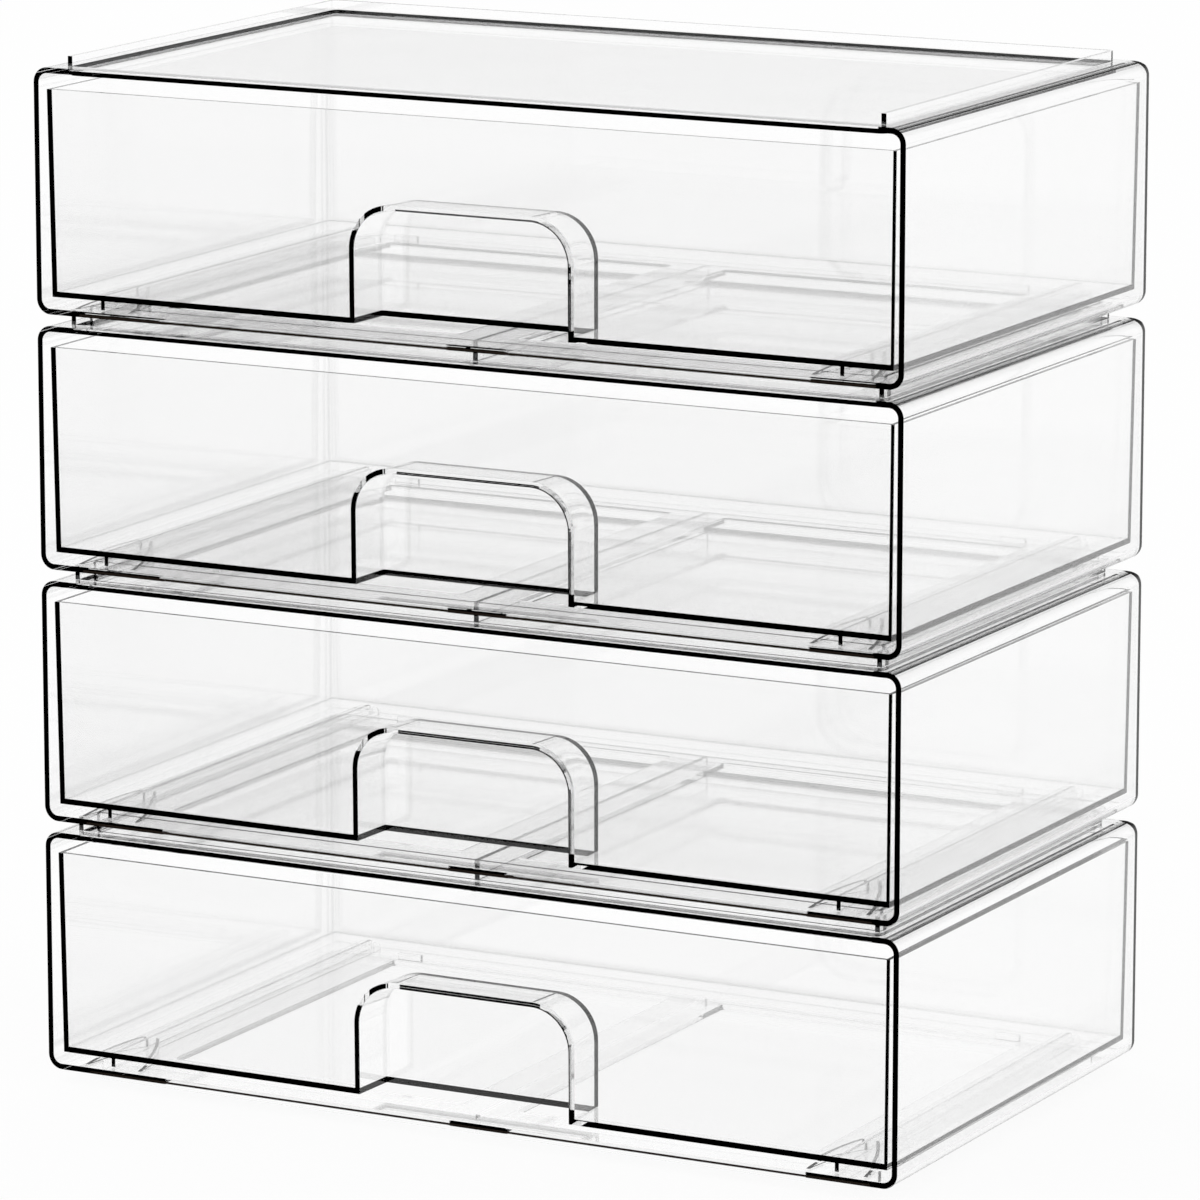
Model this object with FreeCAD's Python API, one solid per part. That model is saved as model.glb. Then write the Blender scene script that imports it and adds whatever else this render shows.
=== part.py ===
import FreeCAD, Part
import os

# Four stacking drawer units of clear moulded plastic, each a casing with a drawer in it.
# X runs across the front, Y from front to back and Z up, in millimetres. The drawers pull
# out towards -Y. The origin is on the surface that the stack stands on, below its middle.

Vector = FreeCAD.Vector
X_AXIS = Vector(1, 0, 0)
Y_AXIS = Vector(0, 1, 0)
Z_AXIS = Vector(0, 0, 1)

unit_names = ["bottom", "lower", "upper", "top"]

# Casing: an open-fronted shell, closed at the back
casing_width = 330.0
casing_depth = 195.0
casing_height = 85.4
casing_wall = 2.0
casing_corner_radius = 5.3
casing_back_top_radius = 5.3
casing_back_edge_radius = 1.6

# Stacking: the skirt under one casing stands on the recessed top of the one below,
# inside that one's ridge, which is open towards the front
ridge_height = 3.5
ridge_thickness = 1.8
ridge_side_margin = 10.0
ridge_front_margin = 6.2
ridge_back_margin = 7.3
ridge_corner_radius = 3.0
top_recess = 1.2
skirt_height = 5.2
skirt_thickness = 1.5
skirt_clearance = 0.9
skirt_front_setback = 5.6
centre_rib_thickness = 1.9

# Two windows in the casing floor, with a strip between them over the centre rib
window_width = 115.2
window_front_margin = 20.7
window_back_margin = 17.5
window_strip_width = 21.0
window_corner_radius = 2.0

# Guides on the casing floor: a pair of ribs at each side, with a runner between them.
# At the front the ribs spread and sink into the floor, which leads the runner in
guide_rib_thickness = 1.3
guide_rib_height = 3.5
guide_gap = 4.2
guide_front_margin = 30.0
guide_back_margin = 7.0
guide_end_radius = 3.0
guide_mouth_width = 22.6
guide_mouth_margin = 3.7
guide_mouth_bulge = 1.8
lug_width = 9.5
lug_height = 2.6
lug_thickness = 1.5
lug_margin = 1.0

# Drawer: a tray whose walls lean outwards for the mould
drawer_wall = 1.5
drawer_floor = 1.8
drawer_height = 71.9
drawer_side_clearance = 2.2
drawer_back_clearance = 0.7
drawer_front_setback = 1.65
drawer_floor_clearance = 3.8
drawer_draft = 0.65

# Finger pocket in the drawer's front, open to the front and below
pocket_width = 85.2
pocket_height = 41.1
pocket_depth = 20.35
pocket_corner_radius = 16.0
pocket_wall = 1.8
pocket_draft = 0.7

# Runners under the drawer
runner_thickness = 1.5
runner_inset = 24.1
runner_clearance = 0.3
runner_front_setback = 2.3
runner_back_setback = 6.0

overrun = 1.0


def box(x0, x1, y0, y1, z0, z1):
    return Part.makeBox(x1 - x0, y1 - y0, z1 - z0, Vector(x0, y0, z0))


def rounded_box(x0, x1, y0, y1, z0, z1, radius, axis):
    solid = box(x0, x1, y0, y1, z0, z1)
    along = [e for e in solid.Edges if abs(e.tangentAt(e.FirstParameter).dot(axis)) > 0.99]
    return solid.makeFillet(radius, along)


def rounded_back_top(solid, back, top, radius):
    bar = box(-casing_width, casing_width, -2 * overrun, back, -overrun, top)
    edge = [e for e in bar.Edges if e.BoundBox.YMin > back - 0.01 and e.BoundBox.ZMin > top - 0.01]
    return solid.common(bar.makeFillet(radius, edge))


def mirrored_pair(solid):
    return [solid, solid.mirror(Vector(0, 0, 0), X_AXIS)]


def ring(half_width, front, back, bottom, top, thickness, radius):
    outer = rounded_box(-half_width, half_width, front, back, bottom, top, radius, Z_AXIS)
    inner_half = half_width - thickness
    inner = rounded_box(-inner_half, inner_half, front + thickness, back - thickness,
                        bottom - overrun, top + overrun, radius - thickness, Z_AXIS)
    return outer.cut(inner)


def casing_shell():
    half = casing_width / 2
    outer = rounded_box(-half, half, 0, casing_depth, 0, casing_height, casing_corner_radius, Y_AXIS)
    back_edges = [e for e in outer.Edges if e.BoundBox.YMin > casing_depth - 0.01]
    outer = outer.makeFillet(casing_back_edge_radius, back_edges)
    outer = rounded_back_top(outer, casing_depth, casing_height, casing_back_top_radius)
    inner = rounded_box(casing_wall - half, half - casing_wall, -overrun, casing_depth - casing_wall,
                        casing_wall, casing_height - casing_wall,
                        casing_corner_radius - casing_wall, Y_AXIS)
    inner = rounded_back_top(inner, casing_depth - casing_wall, casing_height - casing_wall,
                             casing_back_top_radius - casing_wall)
    return outer.cut(inner)


ridge_half = casing_width / 2 - ridge_side_margin
ridge_back = casing_depth - ridge_back_margin
top_surface = casing_height - top_recess


def stepped_top(shell):
    pad = rounded_box(-ridge_half, ridge_half, ridge_front_margin, ridge_back,
                      top_surface - casing_wall, casing_height - casing_wall / 2,
                      ridge_corner_radius, Z_AXIS)
    recess = rounded_box(-ridge_half, ridge_half, ridge_front_margin, ridge_back,
                         top_surface, casing_height + overrun, ridge_corner_radius, Z_AXIS)
    ridge = ring(ridge_half, ridge_front_margin, ridge_back, top_surface - casing_wall / 2,
                 casing_height + ridge_height, ridge_thickness, ridge_corner_radius)
    gap_half = ridge_half - ridge_thickness
    mouth = box(-gap_half, gap_half, 0, ridge_front_margin + ridge_corner_radius,
                top_surface, casing_height + ridge_height + overrun)
    square_front = [box(gap_half, ridge_half, ridge_front_margin,
                        ridge_front_margin + ridge_corner_radius,
                        top_surface - casing_wall / 2, casing_height + ridge_height)]
    square_front += mirrored_pair(square_front[0])[1:]
    return shell.fuse(pad).cut(recess).fuse([ridge.cut(mouth)] + square_front)


skirt_half = ridge_half - ridge_thickness - skirt_clearance
skirt_front = ridge_front_margin + skirt_front_setback
skirt_back = ridge_back - ridge_thickness - skirt_clearance


def stacking_skirt():
    radius = ridge_corner_radius - ridge_thickness + skirt_thickness
    skirt = ring(skirt_half, skirt_front, skirt_back, -skirt_height, casing_wall / 2,
                 skirt_thickness, radius)
    rib = box(-centre_rib_thickness / 2, centre_rib_thickness / 2,
              skirt_front + skirt_thickness / 2, skirt_back - skirt_thickness / 2,
              -skirt_height, casing_wall / 2)
    return [skirt, rib]


def floor_windows():
    inner = window_strip_width / 2
    window = rounded_box(inner, inner + window_width, window_front_margin,
                         casing_depth - window_back_margin, -overrun, casing_wall + overrun,
                         window_corner_radius, Z_AXIS)
    return mirrored_pair(window)


def long_rib(centre, thickness, front, back, bottom, top, end_radius):
    solid = box(centre - thickness / 2, centre + thickness / 2, front, back, bottom, top)
    end = [e for e in solid.Edges if e.BoundBox.YMin > back - 0.01 and e.BoundBox.ZMin > top - 0.01]
    return solid.makeFillet(end_radius, end)


runner_centre = casing_width / 2 - runner_inset


def lead_in(side):
    half = guide_rib_thickness / 2
    rib_offset = (guide_gap + guide_rib_thickness) / 2
    mouth_offset = (guide_mouth_width - guide_rib_thickness) / 2
    middle_offset = (rib_offset + mouth_offset) / 2 + guide_mouth_bulge
    middle = (guide_mouth_margin + guide_front_margin) / 2
    base = casing_wall / 2

    def point(offset, edge, y):
        return Vector(runner_centre + side * offset + edge, y, base)

    def long_edge(edge):
        return Part.Arc(point(mouth_offset, edge, guide_mouth_margin),
                        point(middle_offset, edge, middle),
                        point(rib_offset, edge, guide_front_margin)).toShape()

    front = Part.LineSegment(point(mouth_offset, -half, guide_mouth_margin),
                             point(mouth_offset, half, guide_mouth_margin)).toShape()
    back = Part.LineSegment(point(rib_offset, -half, guide_front_margin),
                            point(rib_offset, half, guide_front_margin)).toShape()
    plan = Part.Face(Part.Wire([front, long_edge(half), back, long_edge(-half)]))
    curved = plan.extrude(Z_AXIS * (casing_wall / 2 + guide_rib_height))
    reach = guide_mouth_width + guide_mouth_bulge
    slope = Part.makePolygon([Vector(runner_centre - reach, guide_mouth_margin, base),
                              Vector(runner_centre - reach, guide_mouth_margin, casing_wall),
                              Vector(runner_centre - reach, guide_front_margin,
                                     casing_wall + guide_rib_height),
                              Vector(runner_centre - reach, guide_front_margin, base),
                              Vector(runner_centre - reach, guide_mouth_margin, base)])
    return curved.common(Part.Face(slope).extrude(X_AXIS * (2 * reach)))


def drawer_guides():
    ribs = []
    for side in (-1, 1):
        centre = runner_centre + side * (guide_gap + guide_rib_thickness) / 2
        rib = long_rib(centre, guide_rib_thickness, guide_front_margin,
                       casing_depth - guide_back_margin, casing_wall / 2,
                       casing_wall + guide_rib_height, guide_end_radius)
        ribs += mirrored_pair(rib) + mirrored_pair(lead_in(side))
    return ribs


def floor_lugs():
    outer = window_strip_width / 2 + window_width - lug_margin
    front = casing_depth - window_back_margin + lug_margin
    lug = box(outer - lug_width, outer, front, front + lug_thickness,
              casing_wall / 2, casing_wall + lug_height)
    return mirrored_pair(lug)


def casing():
    shell = stepped_top(casing_shell()).cut(floor_windows())
    return shell.fuse(stacking_skirt() + drawer_guides() + floor_lugs()).removeSplitter()


drawer_half = casing_width / 2 - casing_wall - drawer_side_clearance
drawer_front = drawer_front_setback
drawer_back = casing_depth - casing_wall - drawer_back_clearance
drawer_bottom = casing_wall + drawer_floor_clearance
drawer_top = drawer_bottom + drawer_height


def level_rectangle(inset, z):
    lean = inset + drawer_draft * (drawer_top - z) / drawer_height
    half = drawer_half - lean
    front = drawer_front + lean
    back = drawer_back - lean
    corners = [Vector(-half, front, z), Vector(half, front, z), Vector(half, back, z),
               Vector(-half, back, z), Vector(-half, front, z)]
    return Part.makePolygon(corners)


def leaning_block(inset, bottom, top):
    return Part.makeLoft([level_rectangle(inset, bottom), level_rectangle(inset, top)], True, True)


def arch(half_width, top, bottom, radius, y):
    diagonal = radius * (1 - 0.5 ** 0.5)
    left_start = Vector(-half_width, y, top - radius)
    left_end = Vector(radius - half_width, y, top)
    right_start = Vector(half_width - radius, y, top)
    right_end = Vector(half_width, y, top - radius)
    left_mid = Vector(diagonal - half_width, y, top - diagonal)
    right_mid = Vector(half_width - diagonal, y, top - diagonal)
    low_left = Vector(-half_width, y, bottom)
    low_right = Vector(half_width, y, bottom)
    edges = [Part.LineSegment(low_left, left_start).toShape(),
             Part.Arc(left_start, left_mid, left_end).toShape(),
             Part.LineSegment(left_end, right_start).toShape(),
             Part.Arc(right_start, right_mid, right_end).toShape(),
             Part.LineSegment(right_end, low_right).toShape(),
             Part.LineSegment(low_right, low_left).toShape()]
    return Part.Wire(edges)


def pocket_block(inset, front, bottom):
    half = pocket_width / 2 - inset
    top = drawer_bottom + pocket_height - inset
    radius = pocket_corner_radius - inset
    back = drawer_front + pocket_depth - inset
    front_wire = arch(half, top, bottom, radius, front)
    back_wire = arch(half - pocket_draft, top - pocket_draft, bottom, radius - pocket_draft, back)
    return Part.makeLoft([front_wire, back_wire], True, True)


def runners():
    rib = long_rib(runner_centre, runner_thickness, drawer_front + runner_front_setback,
                   drawer_back - runner_back_setback, casing_wall + runner_clearance,
                   drawer_bottom + drawer_floor / 2, drawer_floor)
    return mirrored_pair(rib)


def drawer():
    tray = leaning_block(0, drawer_bottom, drawer_top)
    hollow = leaning_block(drawer_wall, drawer_bottom + drawer_floor, drawer_top + overrun)
    pocket_shell = pocket_block(0, drawer_front, drawer_bottom)
    finger_space = pocket_block(pocket_wall, drawer_front - overrun, drawer_bottom - overrun)
    tray = tray.cut(hollow.cut(pocket_shell)).cut(finger_space)
    return tray.fuse(runners()).removeSplitter()


def export(name, shape, level):
    pitch = casing_height + skirt_height - top_recess
    placed = shape.copy()
    placed.translate(Vector(0, -casing_depth / 2, skirt_height + level * pitch))
    placed.exportStep("parts/" + name + ".step")
    print(name, "solids", len(placed.Solids), "valid", placed.isValid(),
          "volume cm3", round(placed.Volume / 1000, 2))


os.makedirs("parts", exist_ok=True)
casing_shape = casing()
drawer_shape = drawer()
for level, unit_name in enumerate(unit_names):
    export("casing_" + unit_name, casing_shape, level)
    export("drawer_" + unit_name, drawer_shape, level)
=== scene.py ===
import math

import bpy
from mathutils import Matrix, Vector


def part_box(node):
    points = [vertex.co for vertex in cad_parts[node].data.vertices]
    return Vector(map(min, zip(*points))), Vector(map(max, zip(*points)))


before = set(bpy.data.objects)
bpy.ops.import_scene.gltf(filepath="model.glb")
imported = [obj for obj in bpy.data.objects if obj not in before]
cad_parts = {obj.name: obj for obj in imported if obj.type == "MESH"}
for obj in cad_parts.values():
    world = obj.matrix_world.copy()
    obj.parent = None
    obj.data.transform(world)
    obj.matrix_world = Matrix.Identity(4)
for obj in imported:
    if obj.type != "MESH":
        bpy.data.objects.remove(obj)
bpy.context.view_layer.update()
scene = bpy.context.scene


# Casings. Four open-fronted shells, each with a ridge, a skirt, two windows in its floor and
# guide ribs for its drawer. Each is one injection moulding of clear polystyrene, and it stands
# by its skirt inside the ridge of the one below, with nothing else to fix it.

unit_names = ["bottom", "lower", "upper", "top"]
casing_low, casing_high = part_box("casing_bottom")
casing_front = casing_low.y
casing_half_width = casing_high.x
stacking_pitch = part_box("casing_lower")[0].z - casing_low.z
shell_height = 0.0854
skirt_height = 0.0052
floor_thickness = 0.002
face_slack = 0.0001


def to_linear(code):
    """The linear colour of an sRGB hex value such as "#f2f4f5"."""
    channels = [int(code[i:i + 2], 16) / 255 for i in (1, 3, 5)]
    linear = [c / 12.92 if c <= 0.04045 else ((c + 0.055) / 1.055) ** 2.4 for c in channels]
    return (*linear, 1.0)


def add_node(tree, kind, inputs=None, **settings):
    """Adds a node with its settings, and sets or links its inputs."""
    node = tree.nodes.new(kind)
    for name, value in settings.items():
        setattr(node, name, value)
    for socket, value in (inputs or {}).items():
        if isinstance(value, bpy.types.NodeSocket):
            tree.links.new(value, node.inputs[socket])
        else:
            node.inputs[socket].default_value = value
    return node


def within(tree, value, low, high):
    """1 where a value lies between two limits, and 0 elsewhere."""
    node = add_node(tree, "ShaderNodeMath", {0: value, 1: (low + high) / 2, 2: (high - low) / 2},
                    operation="COMPARE")
    return node.outputs[0]


def on_face(tree, value, face):
    """1 on a flat face, and 0 where a value is more than a hair away from it."""
    return within(tree, value, face - face_slack, face + face_slack)


def overlap(tree, first, *others):
    """1 where all the given places overlap, and 0 outside any of them."""
    for other in others:
        first = add_node(tree, "ShaderNodeMath", {0: first, 1: other},
                         operation="MULTIPLY").outputs[0]
    return first


def place_in_unit(tree):
    """Where a point lies in the stack, and its height above its own casing's underside."""
    point = add_node(tree, "ShaderNodeTexCoord").outputs["Object"]
    axes = add_node(tree, "ShaderNodeSeparateXYZ", {"Vector": point})
    from_middle = add_node(tree, "ShaderNodeMath", {0: axes.outputs["X"]}, operation="ABSOLUTE")
    above_skirt = add_node(tree, "ShaderNodeMath", {0: axes.outputs["Z"], 1: skirt_height},
                           operation="SUBTRACT")
    height = add_node(tree, "ShaderNodeMath", {0: above_skirt.outputs[0], 1: stacking_pitch},
                      operation="FLOORED_MODULO")
    return {"point": point, "across": axes.outputs["X"], "depth": axes.outputs["Y"],
            "above_ground": axes.outputs["Z"], "from_middle": from_middle.outputs[0],
            "height": height.outputs[0]}


# Clear polystyrene from a polished mould: water-clear in the flat, with mirror-sharp edges that
# hold their light and so read black; along some edges that black is painted in as painted shade.
# It refracts more than acrylic does, and takes a little of every colour from whatever is seen
# through several walls.
polystyrene_tint = "#ffffff"
polystyrene_ior = 1.57
light_taken_per_metre = 1.0
colour_spared = "#000000"
# Painted shade: black painted where a wall would hold the light that enters it, so nothing comes
# back out
painted_shade_black = "#000000"
# The melt leaves a faint swell a few centimetres wide, far too low to feel
swell_width = 0.045
swell_height = 0.00002
swell_detail = 1.0
swell_detail_share = 0.4
# Rubbed places carry lines along the drawer's way. Real ones are hair-fine, and these are drawn
# 0.4 mm apart so that they show.
scratch_spacing = 0.0004
scratch_length = 0.03
scratch_detail = 2.0
faintest_scratch = 0.45
deepest_scratch = 0.7
deepest_scratch_roughness = 0.3


def clear_polystyrene(name, rubbed_places, painted_shade_places):
    """Moulded clear polystyrene, dulled where it rubs, and painted black (painted shade) where
    its wall would hold its light.
    """
    material = bpy.data.materials.new(name)
    material.use_nodes = True
    tree = material.node_tree
    tree.nodes.clear()
    place = place_in_unit(tree)
    swell = add_node(tree, "ShaderNodeTexNoise", {
        "Vector": place["point"], "Scale": 1 / swell_width, "Detail": swell_detail,
        "Roughness": swell_detail_share})
    surface = add_node(tree, "ShaderNodeBump", {
        "Height": swell.outputs["Fac"], "Distance": swell_height, "Strength": 1.0})
    drawn_out = add_node(tree, "ShaderNodeMapping", {
        "Vector": place["point"],
        "Scale": (1 / scratch_spacing, 1 / scratch_length, 1 / scratch_spacing)})
    scratches = add_node(tree, "ShaderNodeTexNoise", {
        "Vector": drawn_out.outputs["Vector"], "Scale": 1.0, "Detail": scratch_detail})
    scratch_dulling = add_node(tree, "ShaderNodeMapRange", {
        "Value": scratches.outputs["Fac"], "From Min": faintest_scratch,
        "From Max": deepest_scratch, "To Min": 0.0, "To Max": deepest_scratch_roughness})
    # Painted shade: black mixed into the colour where the wall would hold its light
    colour = add_node(tree, "ShaderNodeMixRGB", {
        "Fac": painted_shade_places(tree, place), 1: to_linear(polystyrene_tint),
        2: to_linear(painted_shade_black)})
    shader = add_node(tree, "ShaderNodeBsdfPrincipled", {
        "Base Color": colour.outputs["Color"], "IOR": polystyrene_ior,
        "Transmission Weight": 1.0, "Normal": surface.outputs["Normal"],
        "Roughness": overlap(tree, scratch_dulling.outputs["Result"],
                             rubbed_places(tree, place))})
    body = add_node(tree, "ShaderNodeVolumeAbsorption", {
        "Color": to_linear(colour_spared), "Density": light_taken_per_metre})
    add_node(tree, "ShaderNodeOutputMaterial", {
        "Surface": shader.outputs["BSDF"], "Volume": body.outputs["Volume"]})
    return material, shader, colour, place


guide_track = (0.1388, 0.1430)


def between_guides(tree, place):
    """The strip of casing floor at each side that the drawer's runner slides along."""
    return overlap(tree, within(tree, place["from_middle"], *guide_track),
                   on_face(tree, place["height"], floor_thickness))


# Painted shade on the rounded long edges of the top, which hold the light that enters them. The
# painted dark strip deepens from the flat outwards, and ends where the edge is steep enough for
# the light to pass again.
strip_from_side = 0.0024
strip_width = 0.0024
darkest_width = 0.0004
strip_drop = 0.0011
strip_end = casing_half_width - strip_from_side
strip_start = strip_end - strip_width


def painted_shade_top_edges(tree, place):
    """The painted dark strip (painted shade) along each side of a casing's top."""
    darkening = add_node(tree, "ShaderNodeMapRange", {
        "Value": place["from_middle"], "From Min": strip_start,
        "From Max": strip_end - darkest_width})
    return overlap(tree, darkening.outputs["Result"],
                   within(tree, place["from_middle"], strip_start, strip_end),
                   within(tree, place["height"], shell_height - strip_drop, shell_height))


# The casing carries painted shade along its rounded top edges
casing_material, shader, clear_colour, place = clear_polystyrene(
    "clear_polystyrene_moulded_casing", between_guides, painted_shade_top_edges)

# A thin dark brown line runs along the front edge of the casing floor, under each drawer:
# there the plastic is made opaque and dark brown.
dark_front_line_brown = "#1c1713"
dark_front_line_height = (0.0002, 0.00095)
dark_front_line_span = (-0.148, 0.155)
tree = casing_material.node_tree
dark_front_line = overlap(tree, within(tree, place["height"], *dark_front_line_height),
                       within(tree, place["across"], *dark_front_line_span),
                       on_face(tree, place["depth"], casing_front))
clear_part = add_node(tree, "ShaderNodeMath", {0: 1.0, 1: dark_front_line}, operation="SUBTRACT")
tree.links.new(clear_part.outputs[0], shader.inputs["Transmission Weight"])
front_edge_colour = add_node(tree, "ShaderNodeMixRGB", {
    "Fac": dark_front_line, 1: clear_colour.outputs["Color"], 2: to_linear(dark_front_line_brown)})
tree.links.new(front_edge_colour.outputs["Color"], shader.inputs["Base Color"])

for unit in unit_names:
    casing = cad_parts["casing_" + unit]
    casing.data.materials.clear()
    casing.data.materials.append(casing_material)


# Drawers. Four shallow trays with walls that lean a little for the mould, an arched finger
# pocket in the front, and a runner rib under each side. Each is one injection moulding of the
# same clear polystyrene, and it slides on its two runners between the casing's guide ribs.

runner_feet = (0.0022, 0.0027)


def under_runners(tree, place):
    """The lower edges of the two runner ribs, which rub on the casing's floor."""
    return overlap(tree, within(tree, place["from_middle"], *guide_track),
                   within(tree, place["height"], *runner_feet))


# The finger pocket's wall meets the drawer's front end-on, and holds the light that enters
# there. That shade is painted: the arch is painted black along its roof and left side, with a
# thin, broken unpainted core in the roof, and only its inner line is painted dark on the right,
# where the wall faces the light.
drawer_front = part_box("drawer_bottom")[0].y
front_slack = 0.00025
front_lean = 0.00065
arch_top = 0.0469
arch_half_width = 0.0426
arch_radius = 0.016
pocket_wall = 0.0018
pocket_inside = arch_radius - pocket_wall
outer_corner = 0.0001
inner_line = 0.0004
roof_span = (-0.0245, 0.0300)
left_bend_span = (-0.0385, -0.0290)
left_side_top = 0.0375
breaks_spacing = 0.004
unbroken_below = 0.55
# The core takes this share of the roof's painted band. The painted shade thins out from the
# lowest drawer's arch to the highest one's, which is looked at the flattest.
core_share = 0.07
lowest_arch = skirt_height + arch_top
highest_arch = lowest_arch + stacking_pitch * (len(unit_names) - 1)
thickest_band = 0.0017
thinnest_band = 0.0006


def out_from_bends(tree, place):
    """How far out a point lies from the centres of the two bends, or from between them."""
    outside = {}
    for axis, value, centre in [("X", place["from_middle"], arch_half_width - arch_radius),
                                ("Z", place["height"], arch_top - arch_radius)]:
        past = add_node(tree, "ShaderNodeMath", {0: value, 1: centre}, operation="SUBTRACT")
        kept = add_node(tree, "ShaderNodeMath", {0: past.outputs[0], 1: 0.0},
                        operation="MAXIMUM")
        outside[axis] = kept.outputs[0]
    from_bend = add_node(tree, "ShaderNodeCombineXYZ", outside)
    return add_node(tree, "ShaderNodeVectorMath", {0: from_bend.outputs[0]},
                    operation="LENGTH").outputs["Value"]


def roof_of_arch(tree, place, distance, breaks):
    """The painted black band (painted shade) along the roof, less its unpainted core."""
    half_band = add_node(tree, "ShaderNodeMapRange", {
        "Value": place["above_ground"], "From Min": lowest_arch, "From Max": highest_arch,
        "To Min": thickest_band / 2, "To Max": thinnest_band / 2}).outputs["Result"]
    middle = add_node(tree, "ShaderNodeMath", {0: half_band, 1: pocket_inside},
                      operation="ADD").outputs[0]
    half_core = add_node(tree, "ShaderNodeMath", {0: half_band, 1: core_share},
                         operation="MULTIPLY").outputs[0]
    in_band = add_node(tree, "ShaderNodeMath", {0: distance, 1: middle, 2: half_band},
                       operation="COMPARE").outputs[0]
    in_core = add_node(tree, "ShaderNodeMath", {0: distance, 1: middle, 2: half_core},
                       operation="COMPARE").outputs[0]
    on_roof = within(tree, place["across"], *roof_span)
    dark = add_node(tree, "ShaderNodeMath", {
        0: overlap(tree, in_band, on_roof), 1: overlap(tree, on_roof, breaks, in_core)},
        operation="SUBTRACT", use_clamp=True)
    return dark.outputs[0]


def sides_of_arch(tree, place, distance, breaks):
    """Painted shade on the whole wall end on the left, broken up in the bend, and on its inner
    line on the right.
    """
    whole_wall = within(tree, distance, pocket_inside, arch_radius - outer_corner)
    line = within(tree, distance, pocket_inside, pocket_inside + inner_line)
    unbroken = add_node(tree, "ShaderNodeMath", {0: breaks, 1: unbroken_below},
                        operation="LESS_THAN").outputs[0]
    left_side = overlap(tree, within(tree, place["across"], -arch_half_width, left_bend_span[0]),
                        within(tree, place["height"], 0.0, left_side_top))
    left_bend = overlap(tree, within(tree, place["across"], *left_bend_span), unbroken)
    left = add_node(tree, "ShaderNodeMath", {0: left_side, 1: left_bend}, operation="ADD")
    right = within(tree, place["across"], roof_span[1], arch_half_width)
    dark = add_node(tree, "ShaderNodeMath", {
        0: overlap(tree, whole_wall, left.outputs[0]), 1: overlap(tree, line, right)},
        operation="ADD")
    return dark.outputs[0]


def painted_shade_pocket_arch(tree, place):
    """The painted dark parts (painted shade) of the arch, in the drawer's front only."""
    distance = out_from_bends(tree, place)
    breaks = add_node(tree, "ShaderNodeTexNoise", {
        "W": place["across"], "Scale": 1 / breaks_spacing}, noise_dimensions="1D").outputs["Fac"]
    dark = add_node(tree, "ShaderNodeMath", {
        0: roof_of_arch(tree, place, distance, breaks),
        1: sides_of_arch(tree, place, distance, breaks)}, operation="ADD", use_clamp=True)
    in_front = within(tree, place["depth"], drawer_front - front_slack, drawer_front + front_lean)
    return overlap(tree, dark.outputs[0], in_front)


# The drawer carries painted shade around its finger-pocket arch
drawer_material = clear_polystyrene(
    "clear_polystyrene_moulded_drawer", under_runners, painted_shade_pocket_arch)[0]

for unit in unit_names:
    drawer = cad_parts["drawer_" + unit]
    drawer.data.materials.clear()
    drawer.data.materials.append(drawer_material)


# Studio. The stack stands on a wide white sheet in a white room, lit evenly and by one softbox
# overhead, as clear plastic is usually shown. Only the plastic's outer faces mirror the room's
# unlit parts, which are low in front of the stack and high above its backdrop.

sheet_reach = 12.0
sheet_white = "#f0f0f0"
room_white = "#ffffff"
shadow_share = 0.06
backdrop_in_mirror = 0.85
backdrop_top = 0.19
backdrop_fade_end = 0.42
unlit_ceiling = 0.1
sheet_edge_blur = 0.01
at_least_once = 0.5


def off_an_outer_face(tree):
    """1 for a ray mirrored by a surface's outside, and 0 for one that went into the plastic."""
    rays = add_node(tree, "ShaderNodeLightPath")
    mirrored = add_node(tree, "ShaderNodeMath", {
        0: rays.outputs["Glossy Depth"], 1: at_least_once}, operation="GREATER_THAN")
    outside = add_node(tree, "ShaderNodeMath", {
        0: rays.outputs["Transmission Depth"], 1: at_least_once}, operation="LESS_THAN")
    return overlap(tree, mirrored.outputs[0], outside.outputs[0])


sheet_mesh = bpy.data.meshes.new("white_sheet")
corners = [(-1, -1), (1, -1), (1, 1), (-1, 1)]
sheet_mesh.from_pydata([(x * sheet_reach, y * sheet_reach, 0.0) for x, y in corners],
                       [], [(0, 1, 2, 3)])
sheet = bpy.data.objects.new("white_sheet", sheet_mesh)
scene.collection.objects.link(sheet)

# Matt white sheet: it is seen as plain white, with a trace of the stack's shadow
sheet_material = bpy.data.materials.new("matt_white_sheet")
sheet_material.use_nodes = True
tree = sheet_material.node_tree
tree.nodes.clear()
rays = add_node(tree, "ShaderNodeLightPath")
matt = add_node(tree, "ShaderNodeBsdfDiffuse", {"Color": to_linear(sheet_white)})
plain = add_node(tree, "ShaderNodeEmission", {"Color": to_linear(room_white), "Strength": 1.0})
open_to_room = add_node(tree, "ShaderNodeBsdfTransparent")
with_shadow = add_node(tree, "ShaderNodeMixShader", {
    "Fac": shadow_share, 1: plain.outputs[0], 2: matt.outputs[0]})
seen = add_node(tree, "ShaderNodeMixShader", {
    "Fac": rays.outputs["Is Camera Ray"], 1: plain.outputs[0], 2: with_shadow.outputs[0]})
mirrored = add_node(tree, "ShaderNodeMixShader", {
    "Fac": off_an_outer_face(tree), 1: seen.outputs[0], 2: open_to_room.outputs[0]})
lighting = add_node(tree, "ShaderNodeMixShader", {
    "Fac": rays.outputs["Is Diffuse Ray"], 1: mirrored.outputs[0], 2: matt.outputs[0]})
add_node(tree, "ShaderNodeOutputMaterial", {"Surface": lighting.outputs[0]})
sheet_mesh.materials.append(sheet_material)

world = bpy.data.worlds.new("white_studio")
scene.world = world
world.use_nodes = True
tree = world.node_tree
tree.nodes.clear()
direction = add_node(tree, "ShaderNodeTexCoord").outputs["Generated"]
axes = add_node(tree, "ShaderNodeSeparateXYZ", {"Vector": direction})


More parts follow.
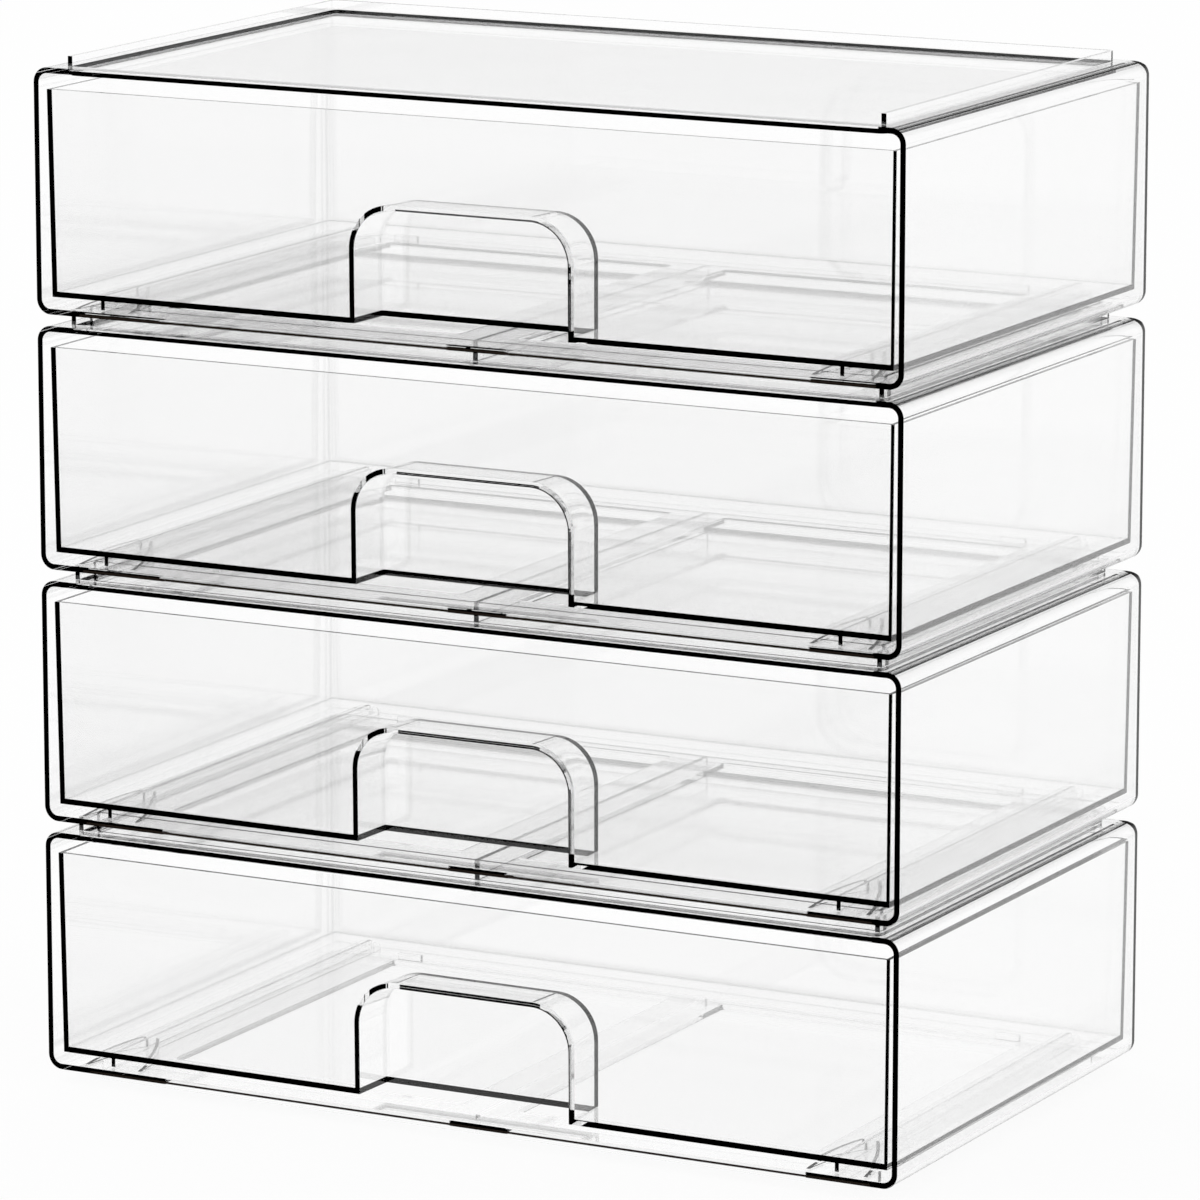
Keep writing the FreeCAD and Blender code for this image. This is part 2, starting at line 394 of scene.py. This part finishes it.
def brightness_by_height(stops):
    """A grey that follows how far up a ray points, from -1 straight down to 1 straight up."""
    height = add_node(tree, "ShaderNodeMapRange", {
        "Value": axes.outputs["Z"], "From Min": -1.0, "From Max": 1.0})
    ramp = add_node(tree, "ShaderNodeValToRGB", {"Fac": height.outputs["Result"]})
    greys = ramp.color_ramp.elements
    greys.remove(greys[0])
    for number, (up, grey) in enumerate(stops):
        position = (1 + up) / 2
        stop = greys[0] if number == 0 else greys.new(position)
        stop.position = position
        stop.color = (grey, grey, grey, 1.0)
    return ramp.outputs["Color"]


behind_stack = brightness_by_height([
    (backdrop_top, backdrop_in_mirror), (backdrop_fade_end, unlit_ceiling)])
before_stack = brightness_by_height([(-sheet_edge_blur, 0.0), (sheet_edge_blur, 1.0)])
goes_back = add_node(tree, "ShaderNodeMath", {0: axes.outputs["Y"], 1: 0.0},
                     operation="GREATER_THAN")
mirrored_room = add_node(tree, "ShaderNodeMixRGB", {
    "Fac": goes_back.outputs[0], 1: before_stack, 2: behind_stack})
lit_parts = add_node(tree, "ShaderNodeBackground", {
    "Color": to_linear(room_white), "Strength": 1.0})
all_parts = add_node(tree, "ShaderNodeBackground", {
    "Color": mirrored_room.outputs["Color"], "Strength": 1.0})
room = add_node(tree, "ShaderNodeMixShader", {
    "Fac": off_an_outer_face(tree), 1: lit_parts.outputs[0], 2: all_parts.outputs[0]})
add_node(tree, "ShaderNodeOutputWorld", {"Surface": room.outputs[0]})

# Softbox: it gives the shadow its direction, and no hard spot in the plastic
softbox_width = 1.2
softbox_watts = 3.0
softbox_place = (-0.6, -0.5, 2.0)
softbox_tilts = (14.0, -16.0, 0.0)
softbox_light = bpy.data.lights.new("softbox", "AREA")
softbox_light.size = softbox_width
softbox_light.energy = softbox_watts
softbox = bpy.data.objects.new("softbox", softbox_light)
softbox.location = softbox_place
softbox.rotation_euler = [math.radians(tilt) for tilt in softbox_tilts]
softbox.visible_camera = False
softbox.visible_glossy = False
softbox.visible_transmission = False
scene.collection.objects.link(softbox)

scene.view_settings.view_transform = "Standard"
# Light that bounces on inside a wall more than this often is lost in it, as in the real part's
# edges. Light that passes through may cross all the walls of a full stack.
bounces_in_a_wall = 3
walls_crossed = 32
scene.cycles.glossy_bounces = bounces_in_a_wall
scene.cycles.transmission_bounces = walls_crossed
scene.cycles.max_bounces = walls_crossed

# Camera: a long lens, a little above the stack and to its right
lens_length = 217.728
film_width = 36.0
furthest_seen = 50.0
camera_place = (1.15917, -2.18442, 0.67936)
camera_tilts = (78.3824, 0.0, 27.9058)
camera_data = bpy.data.cameras.new("camera")
camera_data.lens = lens_length
camera_data.sensor_width = film_width
camera_data.clip_end = furthest_seen
camera = bpy.data.objects.new("camera", camera_data)
camera.location = camera_place
camera.rotation_euler = [math.radians(tilt) for tilt in camera_tilts]
scene.collection.objects.link(camera)
scene.camera = camera
